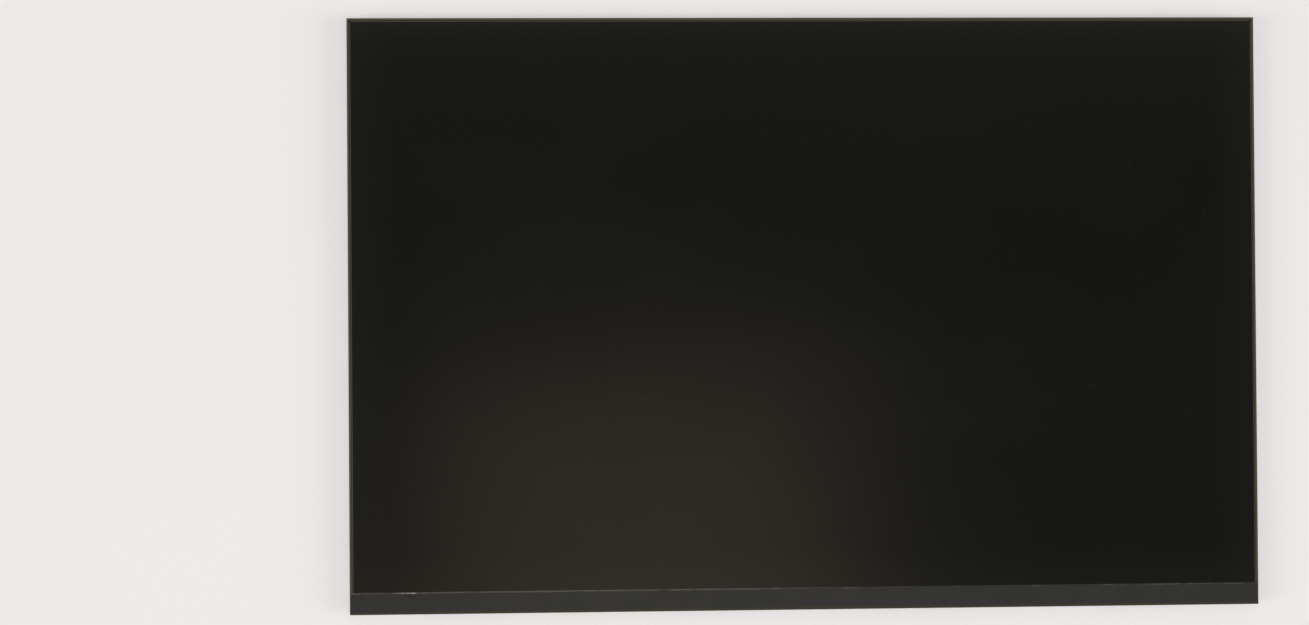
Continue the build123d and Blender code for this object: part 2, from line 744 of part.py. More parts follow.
# Insulating film, stuck to the cover above the board and laid over the parts
with BuildPart() as board_cover_film:
    with BuildSketch(Plane.YZ.offset(film_left)):
        with BuildLine():
            Polyline(
                (board_top + film_land_gap + film_land, cover_back),
                (board_top + film_land_gap, cover_back),
                (board_top + film_slack, film_front),
                (board_low + film_low_margin, film_front),
            )
            offset(amount=board_film_thickness, side=Side.LEFT)
        make_face()
    extrude(amount=film_right - film_left)
board_cover_film.part.label = "board_cover_film"
export_step(board_cover_film.part, "parts/board_cover_film.step")
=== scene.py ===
import math

import bmesh
import bpy
from mathutils import Matrix, Vector, noise


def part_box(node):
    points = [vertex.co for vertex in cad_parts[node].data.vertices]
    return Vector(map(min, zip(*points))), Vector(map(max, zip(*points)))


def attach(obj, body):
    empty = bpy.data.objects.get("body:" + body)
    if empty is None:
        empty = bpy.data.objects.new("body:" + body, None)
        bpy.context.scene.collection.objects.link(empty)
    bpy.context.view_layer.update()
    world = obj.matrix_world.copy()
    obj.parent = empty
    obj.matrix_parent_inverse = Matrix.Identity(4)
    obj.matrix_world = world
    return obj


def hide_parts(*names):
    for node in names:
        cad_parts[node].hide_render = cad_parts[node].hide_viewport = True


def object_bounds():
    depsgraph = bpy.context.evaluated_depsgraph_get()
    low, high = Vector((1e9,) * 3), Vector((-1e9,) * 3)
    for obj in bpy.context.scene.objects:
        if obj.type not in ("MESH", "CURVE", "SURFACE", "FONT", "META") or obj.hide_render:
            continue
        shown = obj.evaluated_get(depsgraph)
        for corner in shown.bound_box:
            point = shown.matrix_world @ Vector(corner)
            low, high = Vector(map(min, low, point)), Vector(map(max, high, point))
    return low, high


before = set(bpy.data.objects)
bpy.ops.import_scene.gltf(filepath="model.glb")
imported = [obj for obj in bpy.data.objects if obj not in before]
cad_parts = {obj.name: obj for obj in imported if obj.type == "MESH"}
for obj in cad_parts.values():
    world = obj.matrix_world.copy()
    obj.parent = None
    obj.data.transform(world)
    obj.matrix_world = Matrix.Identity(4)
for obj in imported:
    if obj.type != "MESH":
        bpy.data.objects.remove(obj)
cad_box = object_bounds()

# Back cover: a shallow tray folded from thin rolled aluminium, with a field drawn out of its floor.
# It snaps over the frame's hooks. Rolling leaves fine lines along it, and hands leave dull smears.
mm = 0.001


class Shade:
    """A socket of a material: arithmetic on it adds Math nodes, and node() adds any other node."""

    def __init__(self, tree, socket=None):
        self.tree = tree
        self.socket = socket

    def node(self, kind, settings, sockets, output=0):
        """A new node: its settings come first, then the values or links of its sockets."""
        made = self.tree.nodes.new(kind)
        for name, setting in settings.items():
            setattr(made, name, setting)
        connect(made, sockets)
        return Shade(self.tree, made.outputs[output])

    def math(self, operation, first, second):
        return self.node("ShaderNodeMath", {"operation": operation}, {0: first, 1: second})

    def __add__(self, other):
        return self.math("ADD", self, other)

    def __sub__(self, other):
        return self.math("SUBTRACT", self, other)

    def __rsub__(self, other):
        return self.math("SUBTRACT", other, self)

    def __mul__(self, other):
        return self.math("MULTIPLY", self, other)

    def __truediv__(self, other):
        return self.math("DIVIDE", self, other)

    def __mod__(self, other):
        return self.math("FLOORED_MODULO", self, other)

    def __abs__(self):
        return self.math("ABSOLUTE", self, 0.0)

    def __gt__(self, other):
        return self.math("GREATER_THAN", self, other)

    def __lt__(self, other):
        return self.math("LESS_THAN", self, other)

    __radd__ = __add__
    __rmul__ = __mul__


def connect(node, sockets):
    """Link each named socket of a node to a shade, or give it a value."""
    for name, value in sockets.items():
        if isinstance(value, Shade):
            value.tree.links.new(value.socket, node.inputs[name])
        else:
            node.inputs[name].default_value = value


def new_material(name):
    """A material, its shader, and the place of each point of the surface."""
    material = bpy.data.materials.new(name)
    material.use_nodes = True
    tree = material.node_tree
    place = Shade(tree).node("ShaderNodeTexCoord", {}, {}, "Object")
    return material, tree.nodes["Principled BSDF"], place


def grain(place, size, detail=2.0, stretch=(1.0, 1.0, 1.0)):
    """Cloudy noise with features of one size, drawn out along the axes with a small stretch."""
    mapped = place.node("ShaderNodeMapping", {}, {"Vector": place, "Scale": stretch})
    return place.node("ShaderNodeTexNoise", {}, {"Vector": mapped, "Scale": 1 / size, "Detail": detail})


def spread(value, low, high):
    """A value between two bounds, eased into the range from 0 to 1."""
    sockets = {"Value": value, "From Min": low, "From Max": high}
    return value.node("ShaderNodeMapRange", {"interpolation_type": "SMOOTHSTEP"}, sockets)


def mix(mask, first, second):
    """The first colour where the mask is 0, and the second where it is 1."""
    factor, colour_a, colour_b, colour_result = 0, 6, 7, 2
    sockets = {factor: mask, colour_a: first, colour_b: second}
    return mask.node("ShaderNodeMix", {"data_type": "RGBA"}, sockets, colour_result)


def relief(height, depth):
    """Surface normals of a height field of this depth."""
    return height.node("ShaderNodeBump", {}, {"Height": height, "Distance": depth})


def dress(material, *names):
    """Give the nodes their finish."""
    for name in names:
        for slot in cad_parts[name].material_slots:
            slot.material = material


def rolled_metal():
    material, shader, place = new_material("rolled_metal")
    lines = grain(place, 0.16 * mm, 3.0, (0.015, 1.0, 1.0))
    bands = grain(place, 5 * mm, 3.0, (0.02, 1.0, 1.0))
    smears = spread(grain(place, 70 * mm, 5.0, (0.5, 1.0, 1.0)), 0.40, 0.75)
    scratches = spread(grain(place, 0.5 * mm, 1.0, (0.03, 0.5, 1.0)), 0.70, 0.74)
    sheen = mix(lines * 0.7 + bands * 0.3, (0.50, 0.51, 0.52, 1), (0.70, 0.71, 0.72, 1))
    connect(shader, {
        "Base Color": mix(smears * 0.15, sheen, (0.46, 0.46, 0.455, 1)),
        "Metallic": 1.0,
        "Roughness": 0.26 + lines * 0.12 + bands * 0.06 + smears * 0.06 - scratches * 0.08,
        "Normal": relief(lines - scratches * 0.6, 0.006 * mm),
    })
    return material


dress(rolled_metal(), "back_cover")

# Reflector: a soft white film full of tiny voids, laid on the floor of the cover.
# Its face is dull and slightly cloudy.


def voided_film():
    material, shader, place = new_material("voided_film")
    clouds = grain(place, 6 * mm, 3.0)
    voids = grain(place, 0.08 * mm)
    connect(shader, {
        "Base Color": mix(clouds, (0.82, 0.82, 0.80, 1), (0.90, 0.90, 0.89, 1)),
        "Roughness": 0.48 + voids * 0.2,
        "Normal": relief(voids, 0.01 * mm),
    })
    return material


dress(voided_film(), "reflector_sheet")

# Light bar: side-view LEDs soldered to a long amber circuit, stuck to the cover by black tape.
# Each LED is a white moulding with a window of yellow phosphor, and a tail carries the current.
track_pitch = 0.4 * mm
broad_pitch = 7.6 * mm
led_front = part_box("leds")[1].y
window_depth = 0.1 * mm


def along(place, axis):
    """One coordinate of the place."""
    return place.node("ShaderNodeSeparateXYZ", {}, {"Vector": place}, axis)


def stripes(across, pitch, outer, inner):
    """Parallel lines: 1 within the inner half width of each, and 0 beyond the outer one."""
    return spread(abs(across % pitch - pitch / 2), outer, inner)


def amber_circuit():
    material, shader, place = new_material("amber_circuit")
    across = along(place, "X")
    fine = stripes(across, track_pitch, 0.12 * mm, 0.08 * mm)
    broad = stripes(across, broad_pitch, 0.98 * mm, 0.94 * mm)
    track = fine + broad - fine * broad
    stain = grain(place, 2.5 * mm, 3.0)
    amber = mix(stain, (0.20, 0.075, 0.014, 1), (0.31, 0.125, 0.026, 1))
    connect(shader, {
        "Base Color": mix(track, amber, (0.42, 0.19, 0.055, 1)),
        "Roughness": 0.24 + stain * 0.16,
        "Coat Weight": 0.4,
        "Coat Roughness": 0.18,
        "Normal": relief(track + stain * 0.4, 0.012 * mm),
    })
    return material


def led_moulding():
    material, shader, place = new_material("led_moulding")
    window = spread(along(place, "Y"), led_front - window_depth, led_front - window_depth * 0.6)
    specks = grain(place, 0.15 * mm)
    white = mix(specks, (0.78, 0.77, 0.72, 1), (0.88, 0.87, 0.83, 1))
    connect(shader, {
        "Base Color": mix(1 - window, (0.82, 0.80, 0.70, 1), white),
        "Roughness": 0.35 + specks * 0.2,
        "Normal": relief(specks, 0.01 * mm),
    })
    return material


def black_adhesive():
    material, shader, place = new_material("black_adhesive")
    fibres = grain(place, 0.3 * mm, 3.0, (0.4, 1.0, 1.0))
    connect(shader, {
        "Base Color": mix(fibres, (0.012, 0.012, 0.012, 1), (0.028, 0.028, 0.027, 1)),
        "Roughness": 0.45 + fibres * 0.25,
        "Normal": relief(fibres, 0.015 * mm),
    })
    return material


flex_film = amber_circuit()
tape_film = black_adhesive()
dress(flex_film, "led_flex")
dress(led_moulding(), "leds")
dress(tape_film, "led_tape")

# Light guide: a clear acrylic plate with fine dots on its back, denser away from the LEDs.
# The dots throw the light forwards, and the ground edges look milky.
dot_pitch = 0.8 * mm
guide_low, guide_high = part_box("light_guide_plate")


def dotted_acrylic():
    material, shader, place = new_material("dotted_acrylic")
    cells = place.node("ShaderNodeTexVoronoi", {}, {"Vector": place, "Scale": 1 / dot_pitch})
    far = spread(along(place, "Y"), guide_low.y, guide_high.y)
    dots = spread(cells - far * 0.22, 0.24, 0.20)
    haze = grain(place, 20 * mm)
    clear = mix(haze, (0.70, 0.74, 0.75, 1), (0.78, 0.82, 0.83, 1))
    connect(shader, {
        "Base Color": mix(dots, clear, (0.90, 0.92, 0.92, 1)),
        "Roughness": 0.08 + dots * 0.3,
        "Normal": relief(dots, 0.01 * mm),
    })
    return material


dress(dotted_acrylic(), "light_guide_plate")

# Optical sheets: a frosted diffuser and two prism sheets with crossed ribs, cut with small tabs
# that lie in the frame's notches. They are loose clear films that spread the light evenly.
rib_pitch = 0.1 * mm
bead_pitch = 0.12 * mm


def ribbed_film(name, axis):
    material, shader, place = new_material(name)
    rib = abs(along(place, axis) % rib_pitch - rib_pitch / 2) / rib_pitch
    haze = grain(place, 4 * mm, 3.0)
    connect(shader, {
        "Base Color": mix(haze, (0.66, 0.68, 0.69, 1), (0.78, 0.80, 0.81, 1)),
        "Roughness": 0.25 + haze * 0.15,
        "Normal": relief(rib, 0.03 * mm),
    })
    return material


def frosted_film():
    material, shader, place = new_material("frosted_film")
    beads = place.node("ShaderNodeTexVoronoi", {}, {"Vector": place, "Scale": 1 / bead_pitch})
    haze = grain(place, 8 * mm)
    connect(shader, {
        "Base Color": mix(haze, (0.74, 0.75, 0.75, 1), (0.82, 0.83, 0.83, 1)),
        "Roughness": 0.5 + beads * 0.2,
        "Normal": relief(beads, 0.02 * mm),
    })
    return material


dress(ribbed_film("level_ribs", "Y"), "upper_prism_sheet")
dress(ribbed_film("upright_ribs", "X"), "lower_prism_sheet")
dress(frosted_film(), "diffuser_sheet")

# Moulded frame: one black plastic moulding, with a thin rim round the glass and a wide rail below.
# Its top edges are slightly rounded, and its skin has a fine spark-eroded texture, with a painted highlight
# on the top face of the rim.
rim_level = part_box("mold_frame")[1].z
rim_highlight_depth = 0.12 * mm


def moulded_black():
    material, shader, place = new_material("moulded_black")
    sparks = grain(place, 0.11 * mm, 3.0)
    flow = grain(place, 14 * mm, 3.0)
    # Painted highlight: the top face of the rim is paler than the sides of the moulding.
    wear_and_highlight = spread(along(place, "Z"), rim_level - rim_highlight_depth, rim_level)
    black = mix(flow, (0.016, 0.015, 0.008, 1), (0.024, 0.022, 0.012, 1))
    pale = mix(flow, (0.044, 0.0435, 0.0195, 1), (0.069, 0.0685, 0.033, 1))
    connect(shader, {
        "Base Color": mix(wear_and_highlight, black, pale),
        "Roughness": 0.42 + sparks * 0.22,
        "Specular IOR Level": 0.25,
        "Normal": relief(sparks, 0.012 * mm),
    })
    return material


dress(moulded_black(), "mold_frame")

# Rim tape: a thin black double-sided frame of tape that holds the glass on the moulded shelf.
# It also stops light from leaking out round the sheets.
dress(tape_film, "rim_tape")

# Glass cell: two thin sheets of glass sealed face to face, the lower one longer below.
# The cut edges are ground, and the margin shows the black mask inside, with a faint green tint.


def masked_glass():
    material, shader, place = new_material("masked_glass")
    grind = grain(place, 0.2 * mm, 4.0)
    tint = grain(place, 30 * mm)
    connect(shader, {
        "Base Color": mix(tint, (0.024, 0.025, 0.014, 1), (0.034, 0.034, 0.020, 1)),
        "Roughness": 0.10 + grind * 0.14,
        "Normal": relief(grind, 0.003 * mm),
    })
    return material


def rear_film():
    material, shader, place = new_material("rear_film")
    haze = grain(place, 25 * mm, 3.0)
    connect(shader, {
        "Base Color": mix(haze, (0.075, 0.075, 0.070, 1), (0.10, 0.10, 0.095, 1)),
        "Roughness": 0.22 + haze * 0.12,
        "Normal": relief(grain(place, 1.5 * mm), 0.004 * mm),
    })
    return material


dress(masked_glass(), "filter_glass", "array_glass")
dress(rear_film(), "rear_polarizer")

# Front polarizer: a dark film stuck to the upper glass, with an anti-glare coating of fine grain.
# It is the black face of the screen. Its cut edge is slightly broken, and wiping leaves faint smears.
# Painted glare lightens it near the edges and towards the top.
screen_low, screen_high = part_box("front_polarizer")
edge_rounding = 0.05 * mm
mask_border = 1.15 * mm
mask_blur = 0.1 * mm
edge_glare_width = 16 * mm
top_glare_edge = 6 * mm
top_glare_width = 60 * mm
merge_distance = 0.0005 * mm
flat_angle = math.radians(0.5)
same_place = 0.001 * mm


def select_none():
    bpy.ops.object.select_all(action="DESELECT")


def merged_copy(name, node):
    """A new piece with the mesh of a node, its loose triangles merged into clean faces."""
    select_none()
    piece = bpy.data.objects.new(name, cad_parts[node].data.copy())
    bpy.context.scene.collection.objects.link(piece)
    bpy.context.view_layer.objects.active = piece
    piece.select_set(True)
    bpy.ops.object.mode_set(mode="EDIT")
    bpy.ops.mesh.select_all(action="SELECT")
    bpy.ops.mesh.remove_doubles(threshold=merge_distance)
    bpy.ops.mesh.dissolve_limited(angle_limit=flat_angle)
    bpy.ops.object.mode_set(mode="OBJECT")
    return piece


def round_edges(piece, radius, steps, wanted):
    """Round the edges whose two ends both pass a test."""
    bpy.ops.object.mode_set(mode="EDIT")
    bpy.ops.mesh.select_mode(type="EDGE")
    bpy.ops.mesh.select_all(action="DESELECT")
    mesh = bmesh.from_edit_mesh(piece.data)
    for edge in mesh.edges:
        edge.select_set(all(wanted(end.co) for end in edge.verts))
    bmesh.update_edit_mesh(piece.data)
    bpy.ops.mesh.bevel(offset=radius, segments=steps, affect="EDGES", clamp_overlap=True)
    bpy.ops.object.mode_set(mode="OBJECT")


def place_piece(piece, material, slot, *nodes):
    """Give a piece its finish and its body, and let it stand for the nodes."""
    piece.data.materials.clear()
    piece.data.materials.append(material)
    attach(piece, "root")
    if nodes:
        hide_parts(*nodes)


def matte_screen():
    material, shader, place = new_material("matte_screen")
    sparkle = grain(place, 0.22 * mm, 2.0)
    wiped = spread(grain(place, 60 * mm, 4.0, (0.6, 1.0, 1.0)), 0.40, 0.70)
    dust = spread(grain(place, 0.7 * mm, 0.0), 0.84, 0.88)
    x_middle = (screen_low.x + screen_high.x) / 2
    y_middle = (screen_low.y + screen_high.y) / 2
    from_side = screen_high.x - x_middle - abs(along(place, "X") - x_middle)
    from_end = screen_high.y - y_middle - abs(along(place, "Y") - y_middle)
    from_top = screen_high.y - along(place, "Y")
    image = spread(from_side, mask_border - mask_blur, mask_border + mask_blur)
    image = image * spread(from_end, mask_border - mask_blur, mask_border + mask_blur)
    # Painted glare: the screen is lighter in a band along its sides and ends.
    corner = spread(from_side, edge_glare_width, 0.0) + spread(from_end, edge_glare_width, 0.0)
    black = mix(image, (0.0022, 0.0021, 0.0015, 1), (0.0013, 0.0012, 0.0009, 1))
    edge_glared = mix(corner * 0.55, black, (0.0062, 0.0060, 0.0046, 1))
    # Painted glare: the screen is lighter towards its top edge.
    glare_from_top = spread(from_top, top_glare_edge, 0.0) * 0.5 + spread(from_top, top_glare_width, 0.0) * 0.25
    top_glared = mix(glare_from_top, edge_glared, (0.0105, 0.0102, 0.0078, 1))
    smudged = mix(wiped * 0.4, top_glared, (0.0036, 0.0033, 0.0026, 1))
    connect(shader, {
        "Base Color": mix(dust * 0.2, smudged, (0.05, 0.05, 0.046, 1)),
        "Roughness": 0.18 + sparkle * 0.06 + wiped * 0.04,
        "Specular IOR Level": 0.10,
        "Specular Tint": (0.93, 0.985, 0.79, 1),
        "Normal": relief(sparkle, 0.004 * mm),
    })
    return material


screen = merged_copy("screen_film", "front_polarizer")
round_edges(screen, edge_rounding, 2, lambda end: end.z > screen_high.z - same_place)
place_piece(screen, matte_screen(), "polarizer_film", "front_polarizer")

# Drivers: long slivers of silicon bonded face down to the ledge of the lower glass.
# The ground back of each die is grey and shiny, with marks of the saw along it.


def nodes_named(start):
    """Names of the nodes that begin with one word, in order."""
    return [name for name in sorted(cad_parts) if name.startswith(start)]


def ground_silicon():
    material, shader, place = new_material("ground_silicon")
    saw = grain(place, 0.05 * mm, 3.0, (0.05, 1.0, 1.0))
    connect(shader, {
        "Base Color": mix(saw, (0.06, 0.06, 0.066, 1), (0.12, 0.12, 0.13, 1)),
        "Metallic": 0.6,
        "Roughness": 0.22 + saw * 0.14,
        "Normal": relief(saw, 0.003 * mm),
    })
    return material


driver_names = nodes_named("source_driver")
dress(ground_silicon(), *driver_names)

# Panel flexes: amber circuits bonded to the ledge of the glass, bent round in a half circle
# and soldered to the back of the board. Each is one strip with fine copper tracks along it.
flex_bond = 1.1 * mm
flex_film_thickness = 0.08 * mm
bend_steps = 28
smooth_angle = math.radians(35)
ledge_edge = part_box("array_glass")[0].y


def select_where(piece, wanted):
    """Select the vertices that pass a test, in edit mode."""
    bpy.ops.mesh.select_mode(type="VERT")
    bpy.ops.mesh.select_all(action="DESELECT")
    mesh = bmesh.from_edit_mesh(piece.data)
    for corner in mesh.verts:
        corner.select_set(wanted(corner.co))
    mesh.select_flush_mode()
    bmesh.update_edit_mesh(piece.data)


def thicken(piece, thickness):
    """Give a sheet its thickness, half to each side."""
    solid = piece.modifiers.new("thickness", "SOLIDIFY")
    solid.thickness = thickness
    solid.offset = 0.0
    bpy.ops.object.modifier_apply(modifier=solid.name)
    bpy.ops.object.shade_smooth_by_angle(angle=smooth_angle)


def finish_place():
    """Put the place, turn and size of the active piece into its mesh."""
    bpy.ops.object.transform_apply(location=True, rotation=True, scale=True)


def bent_flex(name, node):
    low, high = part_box(node)
    ledge_level = high.z - flex_film_thickness / 2
    land_level = low.z + flex_film_thickness / 2
    select_none()
    bpy.ops.mesh.primitive_plane_add(
        size=1, location=((low.x + high.x) / 2, ledge_edge + flex_bond / 2, ledge_level)
    )
    piece = bpy.context.active_object
    piece.name = name
    piece.scale = (high.x - low.x, flex_bond, 1)
    finish_place()
    bpy.ops.object.mode_set(mode="EDIT")
    select_where(piece, lambda corner: corner.y < ledge_edge + flex_bond / 2)
    bpy.ops.mesh.spin(
        steps=bend_steps, angle=math.pi, axis=(1, 0, 0),
        center=(0, ledge_edge, (ledge_level + land_level) / 2),
    )
    bpy.ops.mesh.extrude_region_move(TRANSFORM_OT_translate={"value": (0, high.y - ledge_edge, 0)})
    bpy.ops.mesh.select_all(action="SELECT")
    bpy.ops.mesh.remove_doubles(threshold=same_place)
    bpy.ops.mesh.normals_make_consistent(inside=False)
    bpy.ops.object.mode_set(mode="OBJECT")
    thicken(piece, flex_film_thickness)
    return piece


flex_names = nodes_named("panel_flex")
for number, node in enumerate(flex_names, start=1):
    flex = bent_flex(f"bent_flex_{number}", node)
    place_piece(flex, flex_film, "flex_circuit", node)

# Control board: a narrow strip of green glass-fibre board, stuck to the cover by tape.
# Copper planes and tracks show faintly through the solder mask, and small vias are plated, their holes
# painted dark as shade.
board_low, board_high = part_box("control_board")
copper_cell = (4.2 * mm, 1.8 * mm, 1.0)
copper_pitch = 0.36 * mm
via_pitch = 2.6 * mm
via_room = 0.5 * mm


def green_board():
    material, shader, place = new_material("green_board")
    across, up = along(place, "X"), along(place, "Y")
    cell = place.node("ShaderNodeVectorMath", {"operation": "SNAP"}, {0: place, 1: copper_cell})
    chance = place.node("ShaderNodeTexWhiteNoise", {}, {"Vector": cell}, "Value")
    level_track = stripes(up, copper_pitch, 0.11 * mm, 0.08 * mm)
    upright_track = stripes(across, copper_pitch, 0.11 * mm, 0.08 * mm)
    poured = chance < 0.45
    upright = chance > 0.82
    tracks = upright * upright_track + (1 - poured - upright) * level_track
    vias = place.node(
        "ShaderNodeTexVoronoi", {"voronoi_dimensions": "2D"}, {"Vector": place, "Scale": 1 / via_pitch}
    )
    inside = (up > board_low.y + via_room) * (up < board_high.y - via_room)
    plated = inside * spread(vias, 0.085, 0.070)
    # Painted shade: the centre of each via is painted dark as the inside of its hole.
    hole_shade = inside * spread(vias, 0.040, 0.030)
    weave = grain(place, 0.25 * mm, 2.0)
    copper = poured * 0.8 + tracks * 0.7
    mask = mix(copper, (0.010, 0.052, 0.026, 1), (0.020, 0.10, 0.047, 1))
    ringed = mix(plated, mask, (0.36, 0.30, 0.16, 1))
    connect(shader, {
        "Base Color": mix(hole_shade, ringed, (0.03, 0.03, 0.02, 1)),
        "Roughness": 0.30 + weave * 0.12,
        "Coat Weight": 0.3,
        "Coat Roughness": 0.15,
        "Normal": relief(copper + weave * 0.2, 0.015 * mm),
    })
    return material


dress(green_board(), "control_board")
dress(tape_film, "board_tape")

# Bare pads of the board: gold-plated copper left clear of the solder mask. There is a comb of fingers
# at the end of each flex, rows of round test points, and a mark near each end to line up the machine.
pad_height = 0.03 * mm
finger_size = Vector((0.22 * mm, 0.55 * mm, pad_height))
round_pad_sides = 24
test_point_radius = 0.45 * mm
test_point_pitch = 1.9 * mm
test_point_start = 2 * mm
test_point_drop = 1.3 * mm
line_up_radius = 0.6 * mm
line_up_inset = 2.4 * mm
line_up_drop = 4.6 * mm
pad_level = board_low.z - pad_height / 2


def plated_metal(name, dull, bright, roughness):
    material, shader, place = new_material(name)
    pressed = grain(place, 0.08 * mm, 3.0, (0.1, 1.0, 1.0))
    dulled = grain(place, 4 * mm, 3.0)
    connect(shader, {
        "Base Color": mix(pressed * 0.6 + dulled * 0.4, dull, bright),
        "Metallic": 1.0,
        "Roughness": roughness + pressed * 0.12 + dulled * 0.1,
        "Normal": relief(pressed, 0.004 * mm),
    })
    return material


def block(size, rounding, steps=1):
    """A block with rounded edges at the origin, ready to be copied to its places."""
    select_none()
    bpy.ops.mesh.primitive_cube_add(size=1)
    pattern = bpy.context.active_object
    pattern.scale = size
    finish_place()
    bpy.ops.object.mode_set(mode="EDIT")
    bpy.ops.mesh.select_all(action="SELECT")
    bpy.ops.mesh.bevel(offset=rounding, segments=steps, affect="EDGES")
    bpy.ops.object.mode_set(mode="OBJECT")
    return pattern


def round_pad(radius):
    """A round pad with a broken edge at the origin, ready to be copied to its places."""
    select_none()
    bpy.ops.mesh.primitive_cylinder_add(vertices=round_pad_sides, radius=radius, depth=pad_height)
    pattern = bpy.context.active_object
    bpy.ops.object.mode_set(mode="EDIT")
    bpy.ops.mesh.select_all(action="SELECT")
    bpy.ops.mesh.bevel(offset=pad_height / 4, segments=1, affect="EDGES")
    bpy.ops.object.mode_set(mode="OBJECT")
    return pattern


def copies(name, pattern, places):
    """One piece made of a copy of the pattern at each place. The pattern is deleted."""
    select_none()
    for place in places:
        piece = bpy.data.objects.new(name, pattern.data.copy())
        piece.data.transform(Matrix.Translation(place))
        bpy.context.scene.collection.objects.link(piece)
        piece.select_set(True)
    bpy.context.view_layer.objects.active = piece
    bpy.ops.object.join()
    bpy.data.objects.remove(pattern)
    piece.name = name
    return piece


gold = plated_metal("gold_plate", (0.62, 0.42, 0.16, 1), (0.82, 0.62, 0.29, 1), 0.14)
finger_places = []
for node in flex_names:
    low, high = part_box(node)
    count = int((high.x - low.x) / track_pitch)
    first = math.ceil(low.x / track_pitch) * track_pitch + track_pitch / 2
    for number in range(count - 1):
        finger_places.append(Vector((first + number * track_pitch, high.y + finger_size.y / 2, pad_level)))
fingers = copies("solder_fingers", block(finger_size, pad_height / 4), finger_places)
place_piece(fingers, gold, "contact_metal")

film_low, film_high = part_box("board_cover_film")
shell_low, shell_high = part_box("connector_shell")
bare_spans = (
    (board_low.x, film_low.x), (film_high.x, shell_low.x), (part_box("resistors")[1].x, board_high.x),
)
test_row = board_high.y - test_point_drop
test_places = []
for start, end in bare_spans:
    count = int((end - start - 2 * line_up_inset) / test_point_pitch)
    for number in range(count + 1):
        across = start + line_up_inset + test_point_start + number * test_point_pitch
        if across < end - line_up_inset:
            test_places.append(Vector((across, test_row, pad_level)))
test_points = copies("test_points", round_pad(test_point_radius), test_places)
place_piece(test_points, gold, "contact_metal")

mark_places = [
    Vector((end, board_high.y - line_up_drop, pad_level))
    for end in (board_low.x + line_up_inset, board_high.x - line_up_inset)
]
marks = copies("line_up_marks", round_pad(line_up_radius), mark_places)
place_piece(marks, gold, "contact_metal")

# Chip packages: black moulded blocks with a dimple at the first pin, soldered by pads at the edge.
# The moulding compound is dull, with a fine sandy grain.


def moulding_compound():
    material, shader, place = new_material("moulding_compound")
    sand = grain(place, 0.06 * mm, 3.0)
    cloud = grain(place, 1.5 * mm)
    connect(shader, {
        "Base Color": mix(cloud, (0.018, 0.018, 0.019, 1), (0.032, 0.032, 0.034, 1)),
        "Roughness": 0.48 + sand * 0.24,
        "Normal": relief(sand, 0.012 * mm),
    })
    return material


package_names = ("timing_controller", "power_ic", "led_driver_ic", "flash_memory")
dress(moulding_compound(), *package_names)

# Package pads: the tinned foot of each lead, which shows as a row of bright stubs round a package.
# The solder wets them and climbs a little way up the side.
foot_size = Vector((0.24 * mm, 0.36 * mm, 0.14 * mm))
foot_pitch = 0.5 * mm
foot_reach = 0.06 * mm
foot_rounding = 0.03 * mm
corner_room = 0.5 * mm


def feet_along(start, end):
    """Evenly spaced places between two ends of a side, kept clear of its corners."""
    room = end - start - 2 * corner_room
    count = int(room / foot_pitch) + 1
    first = (start + end - (count - 1) * foot_pitch) / 2
    return [first + number * foot_pitch for number in range(count)]


tin = plated_metal("tin_plate", (0.54, 0.53, 0.51, 1), (0.70, 0.69, 0.66, 1), 0.18)
level_feet, upright_feet = [], []
for node in package_names:
    low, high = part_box(node)
    foot_level = high.z - foot_size.z / 2
    reach = foot_size.y / 2 - foot_reach
    for across in feet_along(low.x, high.x):
        upright_feet.append(Vector((across, low.y + reach, foot_level)))
        upright_feet.append(Vector((across, high.y - reach, foot_level)))
    for up in feet_along(low.y, high.y):
        level_feet.append(Vector((low.x + reach, up, foot_level)))
        level_feet.append(Vector((high.x - reach, up, foot_level)))
feet = copies("package_feet", block(foot_size, foot_rounding), upright_feet)
place_piece(feet, tin, "socket_metal")
feet = copies("package_side_feet", block(foot_size.yxz, foot_rounding), level_feet)
place_piece(feet, tin, "socket_metal")

# Power inductors: square blocks of pressed ferrite powder with rounded corners.
# Their skin is dark grey and slightly rough.


def pressed_ferrite():
    material, shader, place = new_material("pressed_ferrite")
    powder = grain(place, 0.09 * mm, 4.0)
    connect(shader, {
        "Base Color": mix(powder, (0.06, 0.06, 0.064, 1), (0.115, 0.115, 0.12, 1)),
        "Roughness": 0.45 + powder * 0.25,
        "Normal": relief(powder, 0.02 * mm),
    })
    return material


inductor_names = nodes_named("power_inductor")
dress(pressed_ferrite(), *inductor_names)

# Inductor ends: tinned plates folded up from the base at two sides of each block.
# Solder joins them to the board.
plate_size = Vector((0.40 * mm, 2.0 * mm, 0.42 * mm))
plate_reach = 0.07 * mm
plate_rounding = 0.05 * mm
plate_places = []
for node in inductor_names:
    low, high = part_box(node)
    middle = (low.y + high.y) / 2
    level = high.z - plate_size.z / 2
    plate_places.append(Vector((low.x + plate_size.x / 2 - plate_reach, middle, level)))
    plate_places.append(Vector((high.x - plate_size.x / 2 + plate_reach, middle, level)))
plates = copies("inductor_ends", block(plate_size, plate_rounding, 2), plate_places)
place_piece(plates, tin, "socket_metal")

# Chip capacitors and resistors: tiny ceramic blocks in banks beside the packages.
# Their ends are dipped in tin and soldered to the board.
chip_rounding = 0.04 * mm
dip_length = 0.24 * mm
dip_coat = 0.015 * mm


def fired_ceramic(name, dark, light):
    material, shader, place = new_material(name)
    fired = grain(place, 0.1 * mm, 3.0)
    connect(shader, {
        "Base Color": mix(fired, dark, light),
        "Roughness": 0.35 + fired * 0.2,
        "Normal": relief(fired, 0.008 * mm),
    })
    return material


